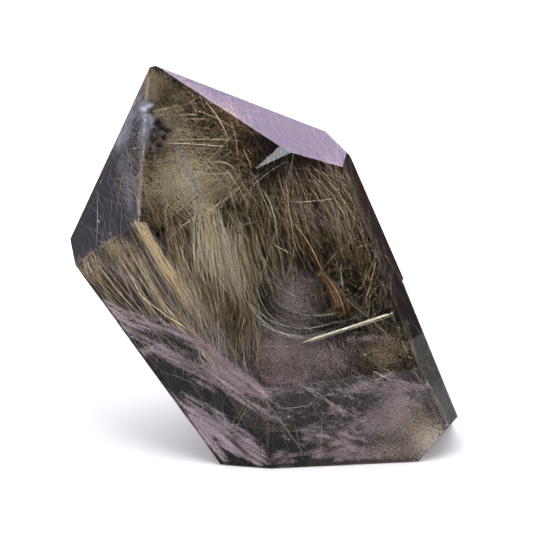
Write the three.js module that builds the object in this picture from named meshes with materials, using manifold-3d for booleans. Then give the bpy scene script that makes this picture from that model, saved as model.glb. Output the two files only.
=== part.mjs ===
// Rutilated quartz: a polished point of smoky quartz with sheaves of rutile needles sealed inside. It stands on its cut
// foot and leans to the left. Millimetres, +Z up. The wide front looks along -Y, and the origin is under the middle of
// the stone at the level of the foot.
import * as THREE from "three";
import { mergeVertices } from "three/addons/utils/BufferGeometryUtils.js";
import Module from "manifold-3d";

const wasm = await Module();
wasm.setup();

// Rough block that the faces are cut on. Its lower side is the foot. The heart is the point that the faces are
// measured from, this high above the foot.
const ROUGH_WIDTH = 110;
const ROUGH_DEPTH = 80;
const ROUGH_HEIGHT = 110;
const HEART_HEIGHT = 35;

// A piece of waste is a three-sided prism, so that the face it leaves is one flat triangle. It reaches this far from
// its middle to each corner and is this thick, which clears the rough block from any side.
const WASTE_CORNER = 320;
const WASTE_THICKNESS = 120;

// Each polished face is a plane. "turn" is the compass turn of its outward direction in degrees: 0 looks to the
// front, 90 to the right, 180 to the back and -90 to the left. "rise" is how far that direction tips up from level,
// in degrees. "out" is the distance of the plane from the heart of the stone.
const FRONT_LEFT = { turn: -10.8, rise: 0.1, out: 20.5 };
const FRONT_WIDE = { turn: 5.7, rise: 11.2, out: 16.8 };
const FRONT_FOOT = { turn: 6.6, rise: 1.6, out: 20.1 };
const RIGHT_NARROW = { turn: 64.8, rise: 22.6, out: 26.9 };
const TIP_LEFT = { turn: -33, rise: 26.7, out: 31.5 };
const TIP_FRONT = { turn: -4.5, rise: 29.2, out: 23.5 };
const TIP_RIGHT = { turn: 29.9, rise: 56.3, out: 30.85 };
const TIP_BEVEL = { turn: -1.6, rise: 26.6, out: 22.65 };
const LEFT_UNDER = { turn: -95.8, rise: -35.6, out: 26.25 };
const LEFT_BACK = { turn: -117.8, rise: -30.3, out: 20.7 };
const TIP_BACK_LEFT = { turn: -132, rise: 9.6, out: 23.95 };
const TIP_BACK = { turn: -163, rise: 46, out: 35.8 };
const TIP_BACK_RIGHT = { turn: 141.9, rise: 55.6, out: 28.4 };
const SHOULDER_RIGHT = { turn: 105.8, rise: 43, out: 29.05 };
const RIGHT_UPPER = { turn: 101, rise: 22.3, out: 24.55 };
const RIGHT_LOWER = { turn: 101.7, rise: 19.8, out: 24.75 };
const FOOT_RIGHT = { turn: 68.1, rise: -36.2, out: 49.35 };
const BACK_WIDE = { turn: 177, rise: -5, out: 18.3 };
const BACK_LEFT = { turn: -146, rise: -20, out: 17.45 };
const BACK_RIGHT = { turn: 138, rise: 12, out: 27.15 };

// A thin flake is missing along the lower right edge. Its scar is a plane just inside the lower right face, and the
// little ledge that it ends at is a plane across the edge.
const FLAKE_SCAR = { turn: 90, rise: 22.3, out: 26 };
const FLAKE_LEDGE = { turn: 71, rise: -67.3, out: 10.25 };

// The quartz is two parts round the sealed rutile, which meet at a plane behind the wide front face. It is parallel to
// that face, and the joint is this wide.
const PARTING = { turn: 5.7, rise: 11.2, out: 9.8 };
const JOINT_WIDTH = 0.3;

// The rutile grew as fans of slender locks, each one a bundle of needles. A fan's locks start along the line "from" and
// end along the line "to", and one more lock, its binder, runs across the middle of them all. "half" is half a lock's
// thickness at its middle.
const CROWN_FAN = { from: [[-25, -3, 64], [-11, -3, 68]], to: [[-21, -8, 44], [-2, -6, 47]], locks: 5, half: 0.9 };
const MIDDLE_FAN = { from: [[-19, -6, 60], [-4, -6, 60]], to: [[-7, -12, 29], [2, -11, 29]], locks: 6, half: 0.9 };
const ROOT_FAN = { from: [[-5, -11, 38], [2, -11, 38]], to: [[-7, -13, 12], [6, -14, 12]], locks: 4, half: 0.8 };
const COMB_FAN = { from: [[-32, -9, 43], [-22, -9, 51]], to: [[-19, -10, 28], [-5, -13, 21]], locks: 5, half: 0.9 };
const UPPER_FAN = { from: [[-5, -6, 60], [13, -5, 59]], to: [[5, -11, 32], [25, -10, 26]], locks: 6, half: 0.9 };
const SWEPT_FAN = { from: [[-4, -12, 35], [-4, -12, 28]], to: [[23, -9, 35], [24, -10, 24]], locks: 3, half: 0.8 };
const FOOT_FAN = { from: [[0, -13, 24], [25, -11, 26]], to: [[3, -14, 6], [28, -11, 6]], locks: 4, half: 0.8 };
const LOW_FAN = { from: [[-14, -11, 27], [-3, -13, 22]], to: [[-10, -12, 10], [-2, -13, 6]], locks: 3, half: 0.8 };
const BACK_FAN = { from: [[-17, 5, 60], [12, 6, 57]], to: [[-6, 5, 12], [26, 4, 8]], locks: 5, half: 1 };
const DEPTH_FAN = { from: [[-16, -8, 50], [14, -8, 46]], to: [[-10, 9, 36], [20, 8, 30]], locks: 4, half: 1 };

const fans = [
  CROWN_FAN,
  MIDDLE_FAN,
  ROOT_FAN,
  COMB_FAN,
  UPPER_FAN,
  SWEPT_FAN,
  FOOT_FAN,
  LOW_FAN,
  BACK_FAN,
  DEPTH_FAN,
];

// Single locks that cross from the middle of one fan to the middle of another, and past both by this much.
const crossings = [
  [CROWN_FAN, MIDDLE_FAN],
  [MIDDLE_FAN, ROOT_FAN],
  [MIDDLE_FAN, COMB_FAN],
  [MIDDLE_FAN, UPPER_FAN],
  [UPPER_FAN, SWEPT_FAN],
  [ROOT_FAN, LOW_FAN],
  [SWEPT_FAN, FOOT_FAN],
  [MIDDLE_FAN, DEPTH_FAN],
  [DEPTH_FAN, BACK_FAN],
];
const CROSSING_REACH = 4;
const CROSSING_HALF = 0.8;

// The one thick straight needle at the lower right.
const LONG_NEEDLE = { from: [-2, -13.5, 22], to: [24, -10, 30.3], half: 0.7 };

// How far a lock's end lies along the fan from straight across, in locks, so that neighbours cross.
const LOCK_CROSSING = 0.8;
// How far a binder runs past the outer locks, as a share of the fan's width.
const BINDER_REACH = 0.05;
// Room round each lock in the quartz, and beyond its tips.
const POCKET_ROOM = 0.45;
const POCKET_TIP_ROOM = 4;

const faces = [
  FRONT_LEFT,
  FRONT_WIDE,
  FRONT_FOOT,
  RIGHT_NARROW,
  TIP_LEFT,
  TIP_FRONT,
  TIP_RIGHT,
  TIP_BEVEL,
  LEFT_UNDER,
  LEFT_BACK,
  TIP_BACK_LEFT,
  TIP_BACK,
  TIP_BACK_RIGHT,
  SHOULDER_RIGHT,
  RIGHT_UPPER,
  RIGHT_LOWER,
  FOOT_RIGHT,
  BACK_WIDE,
  BACK_LEFT,
  BACK_RIGHT,
];

function solidOf(geometry) {
  const bare = geometry.clone();
  bare.deleteAttribute("normal");
  bare.deleteAttribute("uv");
  const welded = mergeVertices(bare);
  return new wasm.Manifold(
    new wasm.Mesh({
      numProp: 3,
      vertProperties: Float32Array.from(welded.attributes.position.array),
      triVerts: Uint32Array.from(welded.index.array),
    }),
  );
}

function outward(face) {
  const turn = THREE.MathUtils.degToRad(face.turn);
  const rise = THREE.MathUtils.degToRad(face.rise);
  return new THREE.Vector3(
    Math.sin(turn) * Math.cos(rise),
    -Math.cos(turn) * Math.cos(rise),
    Math.sin(rise),
  );
}

function wasteTriangle() {
  const corners = [0, 1, 2].map((corner) => {
    const angle = (corner * 2 * Math.PI) / 3;
    return new THREE.Vector2(WASTE_CORNER * Math.cos(angle), WASTE_CORNER * Math.sin(angle));
  });
  return new THREE.Shape(corners);
}

// The prism of waste that lies right outside a face.
function wasteOutside(face) {
  const toFace = new THREE.Quaternion().setFromUnitVectors(new THREE.Vector3(0, 0, 1), outward(face));
  const prism = new THREE.ExtrudeGeometry(wasteTriangle(), { depth: WASTE_THICKNESS, bevelEnabled: false });
  prism.translate(0, 0, face.out);
  prism.applyQuaternion(toFace);
  prism.translate(0, 0, HEART_HEIGHT);
  return solidOf(prism);
}

function roughBlock() {
  const block = new THREE.BoxGeometry(ROUGH_WIDTH, ROUGH_DEPTH, ROUGH_HEIGHT);
  block.translate(0, 0, ROUGH_HEIGHT / 2);
  return solidOf(block);
}

// What broke off: everything outside the scar that is also below the ledge.
function missingFlake() {
  return wasteOutside(FLAKE_SCAR).intersect(wasteOutside(FLAKE_LEDGE));
}

function stone() {
  let solid = roughBlock();
  for (const face of faces) {
    solid = solid.subtract(wasteOutside(face));
  }
  return solid.subtract(missingFlake());
}

// One lock: a long eight-faced spindle between two points. "room" makes it that much thicker all round.
function lockSolid(start, end, half, room, tipRoom) {
  const way = new THREE.Vector3().subVectors(end, start);
  const spindle = new THREE.OctahedronGeometry(1);
  spindle.scale(half + room, way.length() / 2 + tipRoom, half + room);
  const turn = new THREE.Quaternion().setFromUnitVectors(new THREE.Vector3(0, 1, 0), way.clone().normalize());
  spindle.applyQuaternion(turn);
  const middle = new THREE.Vector3().addVectors(start, end).multiplyScalar(0.5);
  spindle.translate(middle.x, middle.y, middle.z);
  return solidOf(spindle);
}

function pointOnLine(line, share) {
  const start = new THREE.Vector3(...line[0]);
  const end = new THREE.Vector3(...line[1]);
  return start.lerp(end, share);
}

// The point of a fan at this share of its width and this share of the way from its start to its end.
function pointInFan(fan, across, along) {
  return pointOnLine(fan.from, across).lerp(pointOnLine(fan.to, across), along);
}

function fanLocks(fan, room, tipRoom) {
  const locks = [];
  for (let index = 0; index < fan.locks; index += 1) {
    const side = index % 2 === 0 ? 1 : -1;
    const startShare = (index + 0.5) / fan.locks;
    const endShare = (index + 0.5 + side * LOCK_CROSSING) / fan.locks;
    const start = pointInFan(fan, startShare, 0);
    const end = pointInFan(fan, endShare, 1);
    locks.push(lockSolid(start, end, fan.half, room, tipRoom));
  }
  const binderStart = pointInFan(fan, -BINDER_REACH, 0.5);
  const binderEnd = pointInFan(fan, 1 + BINDER_REACH, 0.5);
  locks.push(lockSolid(binderStart, binderEnd, fan.half, room, tipRoom));
  return locks;
}

function crossingLock([fan, other], room, tipRoom) {
  const start = pointInFan(fan, 0.5, 0.5);
  const end = pointInFan(other, 0.5, 0.5);
  const reach = new THREE.Vector3().subVectors(end, start).setLength(CROSSING_REACH);
  start.sub(reach);
  end.add(reach);
  return lockSolid(start, end, CROSSING_HALF, room, tipRoom);
}

function longNeedle(room, tipRoom) {
  const start = new THREE.Vector3(...LONG_NEEDLE.from);
  const end = new THREE.Vector3(...LONG_NEEDLE.to);
  return lockSolid(start, end, LONG_NEEDLE.half, room, tipRoom);
}

// All locks joined in one solid.
function sheaves(room, tipRoom) {
  const locks = [
    ...fans.flatMap((fan) => fanLocks(fan, room, tipRoom)),
    ...crossings.map((pair) => crossingLock(pair, room, tipRoom)),
    longNeedle(room, tipRoom),
  ];
  return locks.reduce((joined, lock) => joined.add(lock));
}

// The half-space in front of the parting plane, moved out by "shift".
function beforeParting(shift) {
  return wasteOutside({ turn: PARTING.turn, rise: PARTING.rise, out: PARTING.out + shift });
}

// The largest body of a solid, without the crumbs of quartz that the pockets cut loose.
function mainBody(solid) {
  const bodies = solid.decompose();
  return bodies.reduce((largest, body) => (body.volume() > largest.volume() ? body : largest));
}

// Moves the stone's middle over the origin.
function centring(solid) {
  const box = solid.boundingBox();
  return new THREE.Vector3(-(box.min[0] + box.max[0]) / 2, -(box.min[1] + box.max[1]) / 2, -box.min[2]);
}

function flatGeometry(solid, move) {
  const mesh = solid.getMesh();
  const geometry = new THREE.BufferGeometry();
  geometry.setAttribute("position", new THREE.BufferAttribute(mesh.vertProperties, mesh.numProp));
  geometry.setIndex(new THREE.BufferAttribute(mesh.triVerts, 1));
  geometry.translate(move.x, move.y, move.z);
  const flat = geometry.toNonIndexed();
  flat.computeVertexNormals();
  return flat;
}

function smokyQuartz() {
  return new THREE.MeshStandardMaterial({ color: 0x8a8072, roughness: 0.06, metalness: 0 });
}

function goldenRutile() {
  return new THREE.MeshStandardMaterial({ color: 0xb59c5f, roughness: 0.35, metalness: 0.6 });
}

const group = new THREE.Group();
group.name = "rutilated_quartz";

function addPart(name, solid, move, material) {
  const part = new THREE.Mesh(flatGeometry(solid, move), material);
  part.name = name;
  group.add(part);
}

const wholeStone = stone();
const move = centring(wholeStone);
const pocketed = wholeStone.subtract(sheaves(POCKET_ROOM, POCKET_TIP_ROOM));
const backPart = mainBody(pocketed.subtract(beforeParting(-JOINT_WIDTH / 2)));
const frontPart = mainBody(pocketed.intersect(beforeParting(JOINT_WIDTH / 2)));

addPart("quartz_crystal", backPart, move, smokyQuartz());
addPart("quartz_crystal_front", frontPart, move, smokyQuartz());
addPart("rutile_sheaves", sheaves(0, 0), move, goldenRutile());

export default group;
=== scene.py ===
import math

import bmesh
import bpy
import numpy as np
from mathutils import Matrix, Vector


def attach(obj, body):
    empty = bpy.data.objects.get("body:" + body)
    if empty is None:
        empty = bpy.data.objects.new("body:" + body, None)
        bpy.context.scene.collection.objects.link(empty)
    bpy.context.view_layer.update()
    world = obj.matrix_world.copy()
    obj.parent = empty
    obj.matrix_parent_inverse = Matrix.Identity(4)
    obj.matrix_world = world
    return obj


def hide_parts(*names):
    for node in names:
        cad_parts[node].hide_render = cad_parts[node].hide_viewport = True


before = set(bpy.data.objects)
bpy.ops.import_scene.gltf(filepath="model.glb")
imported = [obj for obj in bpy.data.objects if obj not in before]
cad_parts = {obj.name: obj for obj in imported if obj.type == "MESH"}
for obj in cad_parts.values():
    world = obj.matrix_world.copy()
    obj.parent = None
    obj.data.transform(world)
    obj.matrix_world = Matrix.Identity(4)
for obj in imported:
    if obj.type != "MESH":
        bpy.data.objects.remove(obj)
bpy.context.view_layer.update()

MM = 0.001
TINY = 1e-12
rng = np.random.default_rng(20)

# The photograph's camera
PHOTO_SIZE = 533
FOCAL_PIXELS = 3000.0
SENSOR = 36.0
CLIP_START = 0.01
CAMERA_PLACE = (0.15 * MM, -580.41 * MM, 247.21 * MM)
CAMERA_TILT = math.radians(70)
PIXEL = 0.196 * MM
VIEW_GAMMA = 0.74

# The floor's colour is painted a little darker away from the stone: painted shade, standing in for the light
# on a studio table falling off.
FLOOR_REACH = 3.0
FLOOR_DROP = 0.2 * MM
FLOOR_ROUGHNESS = 0.9
FLOOR_COLOUR = (0.252, 0.248, 0.257)
FLOOR_PAINTED_SHADE_COLOUR = (0.13, 0.13, 0.135)
FLOOR_PAINTED_SHADE_FADE = (0.42, 0.85)

# Soft light from all round, and the parts of it that differ: the turn and rise of each, the angle in degrees
# from its middle to where it starts to fade and to where it ends, and its colour. A later part covers the
# ones before it.
ROUND_LIGHT = (3.2, 3.2, 3.3)
LIGHT_PARTS = {
    "left lamp": (-54, 20, 18, 40, (12.8, 12.6, 12.6)),
    "right lamp": (58, 20, 18, 40, (11.6, 11.4, 11.4)),
    "top lamp": (-10, 80, 20, 48, (6.6, 6.5, 6.5)),
    "dark front": (0, 21, 25, 35, (0.03, 0.03, 0.04)),
    "lilac light": (125.5, 61, 5, 10, (8.2, 7.1, 9.5)),
    "bluish light": (-76, 26, 9, 15, (2.1, 2, 2.45)),
    "flake light": (-3, 35, 2, 4.5, (7.5, 7.9, 8.4)),
    "dim right": (124, -1, 10, 18, (0.42, 0.34, 0.38)),
}

# Quartz: clear and smoky, with a hand polish that is a little uneven and smudged
QUARTZ_INDEX = 1.544
SMOKE_COLOUR = (0.54, 0.50, 0.475)
SMOKE_DENSITY = 250.0
SMUDGE_SCALE = 45
SMUDGE_DETAIL = 4
SMUDGE_RANGE = (0.5, 0.8)
SMUDGE_ROUGHNESS = 0.05
WAVE_SCALE = 60
WAVE_STRENGTH = 0.01
WAVE_HEIGHT = 0.05 * MM
SKIN = 0.2 * MM

# Rutile, seen inside quartz
RUTILE_INDEX = 1.7
RUTILE_ROUGHNESS = 0.3
HAZE_ROUGHNESS = 0.6
GRAIN_ROUGHNESS = 0.4
GLOSS_CHANGE = 0.12
MOTTLE_SCALE = 260
MOTTLE_DETAIL = 2
MOTTLE_DEPTH = 0.14

# The stone's faces, as in the CAD: the turn of the outward direction in degrees, 0 to the front and 90 to
# the right, its rise above level, and the distance in mm from the heart of the stone.
HEART = np.array([-0.013, 0.006, 35.0]) * MM
STONE_FACES = {
    "front left": (-10.8, 0.1, 20.5),
    "front wide": (5.7, 11.2, 16.8),
    "front foot": (6.6, 1.6, 20.1),
    "right narrow": (64.8, 22.6, 26.9),
    "tip left": (-33, 26.7, 31.5),
    "tip front": (-4.5, 29.2, 23.5),
    "tip right": (29.9, 56.3, 30.85),
    "tip bevel": (-1.6, 26.6, 22.65),
    "left under": (-95.8, -35.6, 26.25),
    "left back": (-117.8, -30.3, 20.7),
    "tip back left": (-132, 9.6, 23.95),
    "tip back": (-163, 46, 35.8),
    "tip back right": (141.9, 55.6, 28.4),
    "shoulder right": (105.8, 43, 29.05),
    "right upper": (101, 22.3, 24.55),
    "right lower": (101.7, 19.8, 24.75),
    "foot right": (68.1, -36.2, 49.35),
    "back wide": (177, -5, 18.3),
    "back left": (-146, -20, 17.45),
    "back right": (138, 12, 27.15),
    "foot": (0, -90, 35),
}
# A flake is missing: what was outside its scar and below its ledge.
FLAKE_SCAR = (90, 22.3, 26)
FLAKE_LEDGE = (71, -67.3, 10.25)
ROUGH_BLOCK = 0.3
CUT_GAP = 1e-7


def add_object(name, data):
    thing = bpy.data.objects.new(name, data)
    bpy.context.scene.collection.objects.link(thing)
    return thing


def new_material(name):
    """A new material, its nodes and its surface shader."""
    material = bpy.data.materials.new(name)
    material.use_nodes = True
    nodes = material.node_tree.nodes
    return material, nodes, nodes["Principled BSDF"]


def join(source, output, target, entry):
    """A link from one shader node to another."""
    target.id_data.links.new(source.outputs[output], target.inputs[entry])


def add(nodes, kind, **inputs):
    """A new shader node with these inputs set; an underscore stands for a space in an input's name."""
    node = nodes.new("ShaderNode" + kind)
    for name, value in inputs.items():
        node.inputs[name.replace("_", " ")].default_value = value
    return node


def add_mix(nodes, **inputs):
    node = nodes.new("ShaderNodeMix")
    node.data_type = "RGBA"
    for name, value in inputs.items():
        node.inputs[name].default_value = (*value, 1)
    return node


# Camera, floor and light

def make_camera():
    data = bpy.data.cameras.new("camera")
    data.sensor_width = SENSOR
    data.lens = FOCAL_PIXELS / PHOTO_SIZE * SENSOR
    data.clip_start = CLIP_START
    camera = add_object("camera", data)
    camera.location = CAMERA_PLACE
    camera.rotation_euler = (CAMERA_TILT, 0, 0)
    bpy.context.scene.camera = camera


def make_floor_material():
    material, nodes, shader = new_material("pale_floor")
    shader.inputs["Roughness"].default_value = FLOOR_ROUGHNESS
    place = nodes.new("ShaderNodeTexCoord")
    distance = nodes.new("ShaderNodeVectorMath")
    distance.operation = "LENGTH"
    fade = add(nodes, "MapRange", From_Min=FLOOR_PAINTED_SHADE_FADE[0], From_Max=FLOOR_PAINTED_SHADE_FADE[1])
    fade.interpolation_type = "SMOOTHSTEP"
    # Painted shade: the floor's colour darkens with distance from the stone.
    mix = add_mix(nodes, A=FLOOR_COLOUR, B=FLOOR_PAINTED_SHADE_COLOUR)
    join(place, "Object", distance, 0)
    join(distance, "Value", fade, "Value")
    join(fade, "Result", mix, "Factor")
    join(mix, "Result", shader, "Base Color")
    return material


def make_floor():
    far = FLOOR_REACH
    low = -FLOOR_DROP
    mesh = bpy.data.meshes.new("floor")
    corners = [(-far, -far, low), (far, -far, low), (far, far, low), (-far, far, low)]
    mesh.from_pydata(corners, [], [(0, 1, 2, 3)])
    mesh.materials.append(make_floor_material())
    floor = add_object("floor", mesh)


def toward(turn, rise):
    """The direction from the stone, turn degrees to the right of the camera and rise degrees up."""
    turn = math.radians(turn)
    rise = math.radians(rise)
    return (math.sin(turn) * math.cos(rise), -math.cos(turn) * math.cos(rise), math.sin(rise))


def make_world():
    world = bpy.data.worlds.new("studio")
    bpy.context.scene.world = world
    world.use_nodes = True
    nodes = world.node_tree.nodes
    links = world.node_tree.links
    place = nodes.new("ShaderNodeTexCoord")
    colour = nodes.new("ShaderNodeRGB")
    colour.outputs[0].default_value = (*ROUND_LIGHT, 1)
    light = colour.outputs[0]
    for turn, rise, inner, outer, part_colour in LIGHT_PARTS.values():
        facing = nodes.new("ShaderNodeVectorMath")
        facing.operation = "DOT_PRODUCT"
        facing.inputs[1].default_value = toward(turn, rise)
        limits = (math.cos(math.radians(outer)), math.cos(math.radians(inner)))
        fade = add(nodes, "MapRange", From_Min=limits[0], From_Max=limits[1])
        fade.interpolation_type = "SMOOTHSTEP"
        mix = add_mix(nodes, B=part_colour)
        join(place, "Generated", facing, 0)
        join(facing, "Value", fade, "Value")
        join(fade, "Result", mix, "Factor")
        links.new(light, mix.inputs["A"])
        light = mix.outputs["Result"]
    links.new(light, nodes["Background"].inputs["Color"])


make_camera()
make_floor()
make_world()
bpy.context.scene.view_settings.view_transform = "Standard"
bpy.context.scene.view_settings.gamma = VIEW_GAMMA


# The clear stone

def make_quartz_material():
    material, nodes, shader = new_material("smoky_quartz")
    shader.inputs["Base Color"].default_value = (1, 1, 1, 1)
    shader.inputs["Transmission Weight"].default_value = 1
    shader.inputs["IOR"].default_value = QUARTZ_INDEX
    place = nodes.new("ShaderNodeTexCoord")
    smudges = add(nodes, "TexNoise", Scale=SMUDGE_SCALE, Detail=SMUDGE_DETAIL)
    low, high = SMUDGE_RANGE
    polish = add(nodes, "MapRange", From_Min=low, From_Max=high, To_Max=SMUDGE_ROUGHNESS)
    waves = add(nodes, "TexNoise", Scale=WAVE_SCALE)
    bump = add(nodes, "Bump", Strength=WAVE_STRENGTH, Distance=WAVE_HEIGHT)
    join(place, "Object", smudges, "Vector")
    join(smudges, "Fac", polish, "Value")
    join(polish, "Result", shader, "Roughness")
    join(place, "Object", waves, "Vector")
    join(waves, "Fac", bump, "Height")
    join(bump, "Normal", shader, "Normal")
    smoke = add(nodes, "VolumeAbsorption", Color=(*SMOKE_COLOUR, 1), Density=SMOKE_DENSITY)
    join(smoke, "Volume", nodes["Material Output"], "Volume")
    return material


def plane_of(face):
    """The outward direction of a face, and its distance from the frame's origin along it."""
    turn, rise, out = face
    normal = np.array(toward(turn, rise))
    return normal, float(normal @ HEART) + out * MM


def cut_body(name, planes):
    """A flat-faced body: what lies inside all of these planes."""
    body = bmesh.new()
    bmesh.ops.create_cube(body, size=ROUGH_BLOCK)
    for normal, reach in planes:
        whole = body.verts[:] + body.edges[:] + body.faces[:]
        cut = bmesh.ops.bisect_plane(body, geom=whole, dist=CUT_GAP, plane_co=Vector(normal * reach),
                                     plane_no=Vector(normal), clear_outer=True)
        rim = [part for part in cut["geom_cut"] if isinstance(part, bmesh.types.BMEdge)]
        bmesh.ops.contextual_create(body, geom=rim)
    bmesh.ops.recalc_face_normals(body, faces=body.faces[:])
    mesh = bpy.data.meshes.new(name)
    body.to_mesh(mesh)
    body.free()
    return add_object(name, mesh)


def make_stone():
    """The whole clear stone, which stands for the two CAD parts round the sealed rutile."""
    stone = cut_body("clear_quartz", [plane_of(face) for face in STONE_FACES.values()])
    scar, scar_reach = plane_of(FLAKE_SCAR)
    ledge, ledge_reach = plane_of(FLAKE_LEDGE)
    flake = cut_body("flake", [(-scar, -scar_reach), (-ledge, -ledge_reach)])
    cut = stone.modifiers.new("flake", "BOOLEAN")
    cut.operation = "DIFFERENCE"
    cut.solver = "EXACT"
    cut.object = flake
    depsgraph = bpy.context.evaluated_depsgraph_get()
    mesh = bpy.data.meshes.new_from_object(stone.evaluated_get(depsgraph))
    stone.modifiers.clear()
    stone.data = mesh
    bpy.data.objects.remove(flake)
    mesh.materials.clear()
    mesh.materials.append(make_quartz_material())
    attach(stone, "root")
    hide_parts("quartz_crystal", "quartz_crystal_front")


make_stone()


# The line of sight of a pixel into the stone

FACE_NORMALS = np.array([plane_of(face)[0] for face in STONE_FACES.values()])
FACE_REACHES = np.array([plane_of(face)[1] for face in STONE_FACES.values()])
RIGHTWARD = np.array([1.0, 0, 0])
UPWARD = np.array([0, math.cos(CAMERA_TILT), math.sin(CAMERA_TILT)])
AHEAD = np.array([0, math.sin(CAMERA_TILT), -math.cos(CAMERA_TILT)])
LEAST_TURN = 1e-9


def into_stone(pixels, depths):
    """Points at these depths behind the polished faces, on the bent lines of sight of these pixels."""
    pixels = np.atleast_2d(np.asarray(pixels, float))
    depths = np.broadcast_to(np.asarray(depths, float), len(pixels))
    middle = PHOTO_SIZE / 2
    rays = AHEAD * FOCAL_PIXELS + RIGHTWARD * (pixels[:, :1] - middle) - UPWARD * (pixels[:, 1:] - middle)
    rays /= np.linalg.norm(rays, axis=1)[:, None]
    eye = np.array(CAMERA_PLACE)
    facing = rays @ FACE_NORMALS.T
    with np.errstate(divide="ignore", invalid="ignore"):
        far = (FACE_REACHES - FACE_NORMALS @ eye) / facing
    entry = np.where(facing < 0, far, -np.inf)
    face = entry.argmax(axis=1)
    start = eye + rays * entry.max(axis=1)[:, None]
    normal = FACE_NORMALS[face]
    ratio = 1 / QUARTZ_INDEX
    cosine = -(rays * normal).sum(axis=1)
    bent = rays * ratio + normal * (ratio * cosine - np.sqrt(1 - ratio**2 * (1 - cosine**2)))[:, None]
    turn = bent @ FACE_NORMALS.T
    with np.errstate(divide="ignore", invalid="ignore"):
        out = (FACE_REACHES - start @ FACE_NORMALS.T) / turn
    leave = np.where(turn > LEAST_TURN, out, np.inf).min(axis=1)
    depth = np.clip(depths, 0, np.maximum(leave - 2 * SKIN, 0))
    return start + bent * depth[:, None]


def inside(points):
    """Which points lie inside the stone, at least a skin's depth below every face."""
    return ((points @ FACE_NORMALS.T) < FACE_REACHES - SKIN).all(axis=-1)


# Needles and grains: thin three-sided rods along straight or bowed paths, and small uneven specks with four
# corners. The tone of each picks its colour, from 0 for dark to 1 for light.

NEEDLE_SIDES = 3
NEEDLE_TIP = 0.35
GRAIN_CORNERS = np.array([(1, 1, 1), (1, -1, -1), (-1, 1, -1), (-1, -1, 1)], float)
GRAIN_FACES = ((0, 1, 2), (0, 3, 1), (0, 2, 3), (1, 3, 2))
GRAIN_LENGTHS = (0.4, 1.2)
GRAIN_DENTS = (0.5, 1)


def unit(ways):
    return ways / (np.linalg.norm(ways, axis=-1, keepdims=True) + TINY)


def between(limits, share):
    """The value at these shares of the way from one limit to the other."""
    return limits[0] + (limits[1] - limits[0]) * share


class Growth:
    """Collects needles and grains and makes one mesh of them."""

    def __init__(self):
        self.places = []
        self.faces = []
        self.tones = []
        self.count = 0

    def add_points(self, points, tones):
        self.places.append(points.reshape(-1, 3))
        self.tones.append(tones)
        self.count += len(tones)

    def needles(self, paths, radii, tones):
        """One needle along each path; paths has the shape (needles, points, 3)."""
        number, steps, _ = paths.shape
        if number == 0:
            return
        along = unit(np.gradient(paths, axis=1))
        side = unit(np.cross(along, rng.normal(size=(number, 1, 3))))
        other = np.cross(along, side)
        shape = np.ones(steps)
        shape[0] = shape[-1] = NEEDLE_TIP
        wide = radii[:, None, None] * shape[None, :, None]
        rings = []
        for corner in range(NEEDLE_SIDES):
            angle = 2 * math.pi * corner / NEEDLE_SIDES
            rings.append(paths + wide * (side * math.cos(angle) + other * math.sin(angle)))
        base = self.count + NEEDLE_SIDES * steps * np.arange(number)[:, None]
        for step in range(steps - 1):
            for corner in range(NEEDLE_SIDES):
                here = NEEDLE_SIDES * step + corner
                beside = NEEDLE_SIDES * step + (corner + 1) % NEEDLE_SIDES
                side_face = [here, beside, beside + NEEDLE_SIDES, here + NEEDLE_SIDES]
                self.faces.append(base + np.array([side_face]))
        last = NEEDLE_SIDES * (steps - 1)
        self.faces.append(base + np.array([[2, 1, 0]]))
        self.faces.append(base + np.array([[last, last + 1, last + 2]]))
        self.add_points(np.stack(rings, axis=2), np.repeat(tones, NEEDLE_SIDES * steps))

    def curves(self, starts, middles, ends, shares, steps, radii, tones):
        """Needles along these shares of curves through middles, cut back to the stone's inside."""
        paths, left = lay_paths(starts, middles, ends, shares, steps)
        self.needles(paths, radii[left], tones[left])

    def grains(self, middles, radii, tones):
        clear = inside(middles)
        middles = middles[clear]
        radii = radii[clear]
        number = len(middles)
        if number == 0:
            return
        first = unit(rng.normal(size=(number, 3)))
        second = unit(np.cross(first, rng.normal(size=(number, 3))))
        third = np.cross(first, second)
        frames = np.stack([first, second, third], axis=1)
        lengths = rng.uniform(*GRAIN_LENGTHS, (number, 1, 3))
        shape = GRAIN_CORNERS[None] * lengths * rng.uniform(*GRAIN_DENTS, (number, 4, 1))
        points = middles[:, None] + (shape @ frames) * radii[:, None, None]
        base = self.count + len(GRAIN_CORNERS) * np.arange(number)[:, None]
        for face in GRAIN_FACES:
            self.faces.append(base + np.array([face]))
        self.add_points(points, np.repeat(tones[clear], len(GRAIN_CORNERS)))

    def make(self, name, material):
        corners = np.concatenate([faces.ravel() for faces in self.faces])
        sizes = np.concatenate([np.full(len(faces), faces.shape[1]) for faces in self.faces])
        mesh = bpy.data.meshes.new(name)
        mesh.vertices.add(self.count)
        mesh.vertices.foreach_set("co", np.concatenate(self.places).ravel())
        mesh.loops.add(len(corners))
        mesh.loops.foreach_set("vertex_index", corners)
        mesh.polygons.add(len(sizes))
        mesh.polygons.foreach_set("loop_start", np.concatenate([[0], np.cumsum(sizes)[:-1]]))
        mesh.polygons.foreach_set("loop_total", sizes)
        mesh.update(calc_edges=True)
        tone = mesh.attributes.new("tone", "FLOAT", "POINT")
        tone.data.foreach_set("value", np.concatenate(self.tones).astype(np.float32))
        mesh.materials.append(material)
        piece = add_object(name, mesh)
        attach(piece, "root")
        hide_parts("rutile_sheaves")


# Paths of needles

PATH_CHECKS = 33
FEWEST_CLEAR = 3
WHOLE = (0.0, 1.0)


def bowed(starts, middles, ends, shares):
    """Points at these shares, of shape (needles, points), of quadratic curves that pass through middles."""
    control = 2 * middles - (starts + ends) / 2
    gone = shares[:, :, None]
    left = 1 - gone
    return starts[:, None] * left**2 + control[:, None] * 2 * gone * left + ends[:, None] * gone**2


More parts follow.
